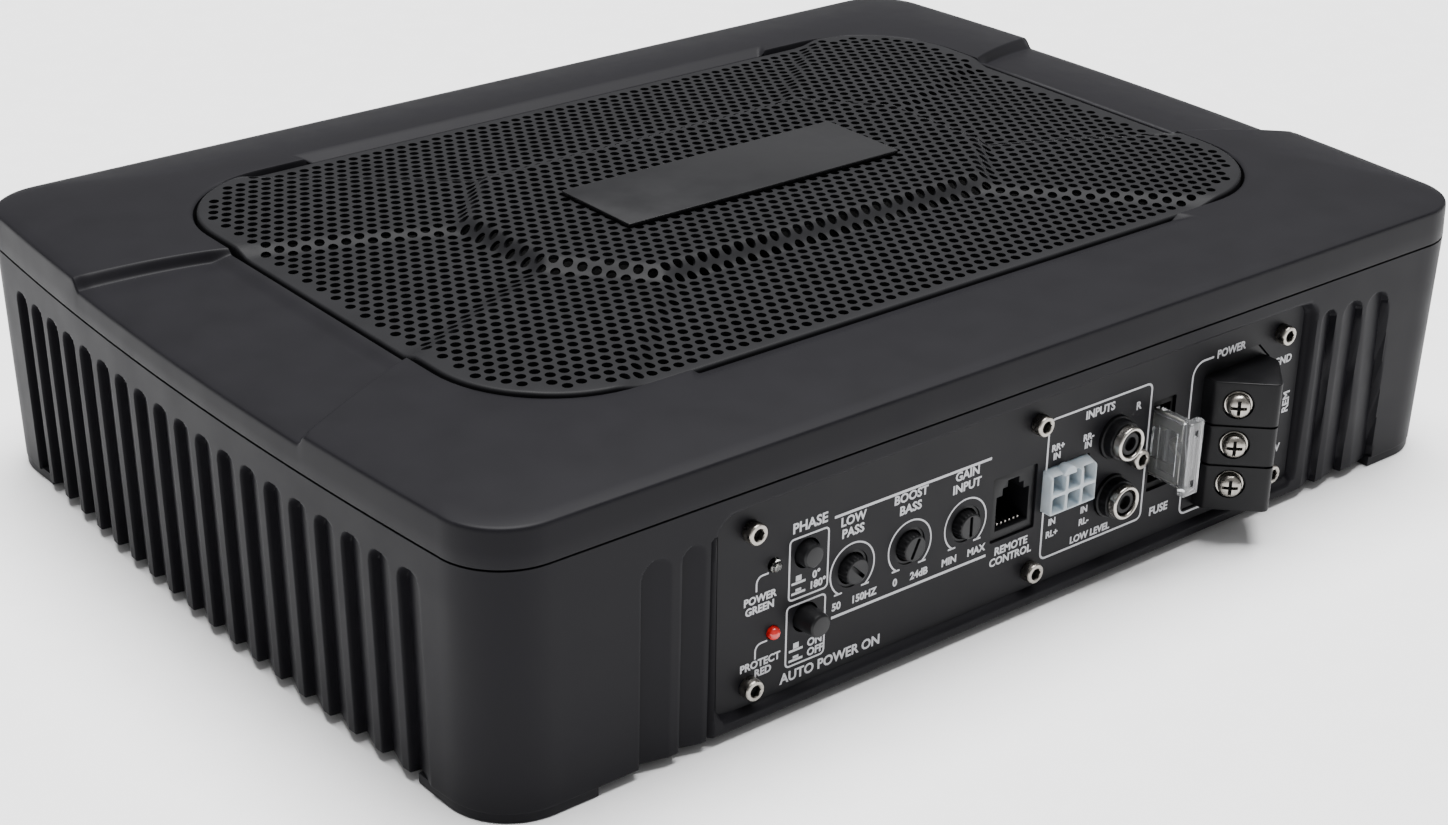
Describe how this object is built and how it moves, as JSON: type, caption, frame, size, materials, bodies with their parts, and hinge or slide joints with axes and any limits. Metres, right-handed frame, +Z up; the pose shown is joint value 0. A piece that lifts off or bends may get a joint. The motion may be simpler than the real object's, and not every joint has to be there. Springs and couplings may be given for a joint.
{
  "type": "powered car subwoofer",
  "caption": "Shallow under-seat powered car subwoofer: fluted black housing, perforated grille, side control panel with knobs, buttons, sockets, fuse and terminals, woofer and amplifier inside.",
  "frame": {"origin": "centre of the bounding box in plan, on the surface that the corner feet stand on", "axes": "+X along the control panel to the right as seen from the front, -Y out of the control panel, +Z up out of the grille"},
  "size_m": [0.3048, 0.2302, 0.0747],
  "materials": {
    "housing_plastic": "satin black ABS with a fine moulded grain",
    "grille_steel": "black powder coat on perforated steel",
    "panel_coat": "satin black coat with white printed lines",
    "bright_nickel": "bright nickel plate",
    "dark_moulding": "black moulding",
    "zinc_steel": "zinc plated pressed steel",
    "milky_nylon": "natural nylon, slightly translucent",
    "clear_fuse_plastic": "clear plastic",
    "clear_lens": "clear lens",
    "red_lens": "red lens",
    "circuit_board": "green solder mask",
    "bare_aluminium": "extruded",
    "enamelled_copper": "enamelled copper wire",
    "ferrite": "sintered",
    "cone_paper": "pressed paper pulp, coated",
    "soft_rubber": "satin",
    "resin_cloth": "resin-dipped cotton",
    "fibreboard": "raw fibreboard"
  },
  "bodies": {
    "housing": {"lower_housing": "housing_plastic", "top_cover": "housing_plastic", "grille": "grille_steel", "control_panel": "panel_coat", "name_plate": "panel_coat", "panel_screw_top_left": "bright_nickel", "panel_screw_bottom_left": "bright_nickel", "panel_screw_top_middle": "bright_nickel", "panel_screw_bottom_middle": "bright_nickel", "panel_screw_top_right": "bright_nickel", "panel_screw_bottom_right": "bright_nickel", "panel_screw_socket": "bright_nickel", "rca_ring_right": "bright_nickel", "rca_ring_left": "bright_nickel", "phase_switch": "dark_moulding", "auto_power_switch": "dark_moulding", "remote_jack": "dark_moulding", "rca_housing": "dark_moulding", "fuse_holder": "dark_moulding", "terminal_block": "dark_moulding", "power_transistor_1": "dark_moulding", "power_transistor_2": "dark_moulding", "power_transistor_3": "dark_moulding", "supply_capacitor_1": "dark_moulding", "supply_capacitor_2": "dark_moulding", "low_pass_potentiometer": "zinc_steel", "bass_boost_potentiometer": "zinc_steel", "gain_potentiometer": "zinc_steel", "woofer_basket": "zinc_steel", "top_plate": "zinc_steel", "back_plate": "zinc_steel", "high_level_socket": "milky_nylon", "power_led": "clear_lens", "protect_led": "red_lens", "control_board": "circuit_board", "amplifier_board": "circuit_board", "heat_sink": "bare_aluminium", "toroid_transformer": "enamelled_copper", "magnet": "ferrite", "cone_surround": "soft_rubber", "woofer_gasket": "soft_rubber", "spider": "resin_cloth", "baffle_board": "fibreboard", "speaker_terminal": "fibreboard"},
    "phase_button": {"phase_button": "dark_moulding"},
    "auto_power_button": {"auto_power_button": "dark_moulding"},
    "low_pass_knob": {"low_pass_knob": "dark_moulding"},
    "bass_boost_knob": {"bass_boost_knob": "dark_moulding"},
    "gain_knob": {"gain_knob": "dark_moulding"},
    "fuse": {"blade_fuse": "clear_fuse_plastic"},
    "cone": {"woofer_cone": "cone_paper", "dust_cap": "cone_paper", "voice_coil": "enamelled_copper"},
    "ground_washer": {"ground_terminal_washer": "bright_nickel"},
    "ground_screw": {"ground_terminal_screw": "bright_nickel"},
    "remote_washer": {"remote_terminal_washer": "bright_nickel"},
    "remote_screw": {"remote_terminal_screw": "bright_nickel"},
    "battery_washer": {"battery_terminal_washer": "bright_nickel"},
    "battery_screw": {"battery_terminal_screw": "bright_nickel"}
  },
  "joints": [
    {"name": "phase_press", "type": "slide", "parent": "housing", "child": "phase_button", "axis": [0, -1, 0], "range_m": [-0.0003, 0.0025]},
    {"name": "auto_power_press", "type": "slide", "parent": "housing", "child": "auto_power_button", "axis": [0, -1, 0], "range_m": [-0.0028, 0]},
    {"name": "low_pass_turn", "type": "hinge", "parent": "housing", "child": "low_pass_knob", "pos_m": [-0.0532, -0.10155, 0.0288], "axis": [0, 1, 0], "range_deg": [-105, 195]},
    {"name": "bass_boost_turn", "type": "hinge", "parent": "housing", "child": "bass_boost_knob", "pos_m": [-0.0367, -0.10155, 0.0288], "axis": [0, 1, 0], "range_deg": [-175, 125]},
    {"name": "gain_turn", "type": "hinge", "parent": "housing", "child": "gain_knob", "pos_m": [-0.0202, -0.10155, 0.0288], "axis": [0, 1, 0], "range_deg": [-150, 150]},
    {"name": "fuse_pull", "type": "slide", "parent": "housing", "child": "fuse", "axis": [0, -1, 0], "range_m": [0, 0.016]},
    {"name": "cone_travel", "type": "slide", "parent": "housing", "child": "cone", "axis": [0, 0, 1], "range_m": [-0.004, 0.004], "stiffness_N_per_m": 2500, "deforming": ["cone_surround", "spider"]},
    {"name": "ground_washer_lift", "type": "slide", "parent": "housing", "child": "ground_washer", "axis": [-0.7071, -0.7071, 0], "range_m": [0, 0.00278]},
    {"name": "ground_screw_turn", "type": "hinge", "parent": "ground_washer", "child": "ground_screw", "pos_m": [0.06015, -0.1087, 0.0373], "axis": [-0.7071, -0.7071, 0], "range_deg": [0, 1430]},
    {"name": "remote_washer_lift", "type": "slide", "parent": "housing", "child": "remote_washer", "axis": [-0.7071, -0.7071, 0], "range_m": [0, 0.00278]},
    {"name": "remote_screw_turn", "type": "hinge", "parent": "remote_washer", "child": "remote_screw", "pos_m": [0.06015, -0.1087, 0.0269], "axis": [-0.7071, -0.7071, 0], "range_deg": [0, 1430]},
    {"name": "battery_washer_lift", "type": "slide", "parent": "housing", "child": "battery_washer", "axis": [-0.7071, -0.7071, 0], "range_m": [0, 0.00278]},
    {"name": "battery_screw_turn", "type": "hinge", "parent": "battery_washer", "child": "battery_screw", "pos_m": [0.06015, -0.1087, 0.0165], "axis": [-0.7071, -0.7071, 0], "range_deg": [0, 1430]}
  ],
  "couplings": [
    {"joint": "ground_screw_turn", "follows": "ground_washer_lift", "rad_per_m": 8976},
    {"joint": "remote_screw_turn", "follows": "remote_washer_lift", "rad_per_m": 8976},
    {"joint": "battery_screw_turn", "follows": "battery_washer_lift", "rad_per_m": 8976}
  ]
}
